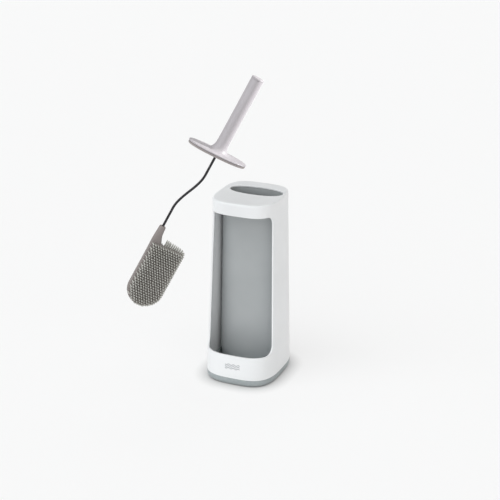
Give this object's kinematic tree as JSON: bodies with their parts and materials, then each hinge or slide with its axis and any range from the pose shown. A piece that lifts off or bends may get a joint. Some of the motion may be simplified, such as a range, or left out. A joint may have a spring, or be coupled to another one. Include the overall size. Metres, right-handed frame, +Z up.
{
  "type": "toilet brush holder",
  "caption": "White stand with a grey brush well and an open front bay for a bottle, and a flexible paddle brush on a bent wire, drawn out and leaning.",
  "frame": {"origin": "on the floor, under the centre of the stand's foot, on the underside of the rubber mat", "axes": "+Z up; the stand's open bay and the lip that holds the bottle face -Y; the brush leans to +X and +Y as it rises"},
  "size_m": [0.1891, 0.2919, 0.5511],
  "materials": {
    "white_shell": "satin moulded plastic",
    "white_grip": "satin moulded plastic",
    "grey_shell": "fine matt moulded plastic",
    "grey_seal": "matt",
    "wire_steel": "dark polished wire",
    "ballast_steel": "mill finish",
    "screw_steel": "zinc plated",
    "mat_rubber": "matt",
    "head_rubber": "satin",
    "bristle_rubber": "satin"
  },
  "bodies": {
    "base": {"base_tray": "grey_shell", "bottom_cover": "grey_shell", "ballast_plate": "ballast_steel", "floor_mat": "mat_rubber", "cover_screw_1": "screw_steel", "cover_screw_2": "screw_steel", "cover_screw_3": "screw_steel", "cover_screw_4": "screw_steel", "tub_screw_1": "screw_steel", "tub_screw_2": "screw_steel", "inner_tub": "grey_shell", "mouth_collar": "grey_shell"},
    "sleeve": {"sleeve": "white_shell"},
    "brush": {"handle": "white_grip", "handle_end_cap": "white_grip", "lid_seal": "grey_seal", "wire_socket": "grey_seal", "wire": "wire_steel", "head_neck": "head_rubber"},
    "brush_head": {"head_core": "head_rubber", "bristles_front": "bristle_rubber", "bristles_back": "bristle_rubber", "bristles_rim": "bristle_rubber"}
  },
  "joints": [
    {"name": "sleeve_lift", "type": "slide", "parent": "base", "child": "sleeve", "axis": [0, 0, 1], "range_m": [0, 0.32]},
    {"name": "brush_lift", "type": "slide", "parent": "base", "child": "brush", "axis": [0, 0, 1], "range_m": [-0.13, 0.1]},
    {"name": "head_flex", "type": "hinge", "parent": "brush", "child": "brush_head", "pos_m": [-0.06672, -0.174, 0.28181], "axis": [0.7251, 0.4891, -0.4848], "range_deg": [-25, 25], "stiffness_Nm_per_rad": 1.2}
  ]
}
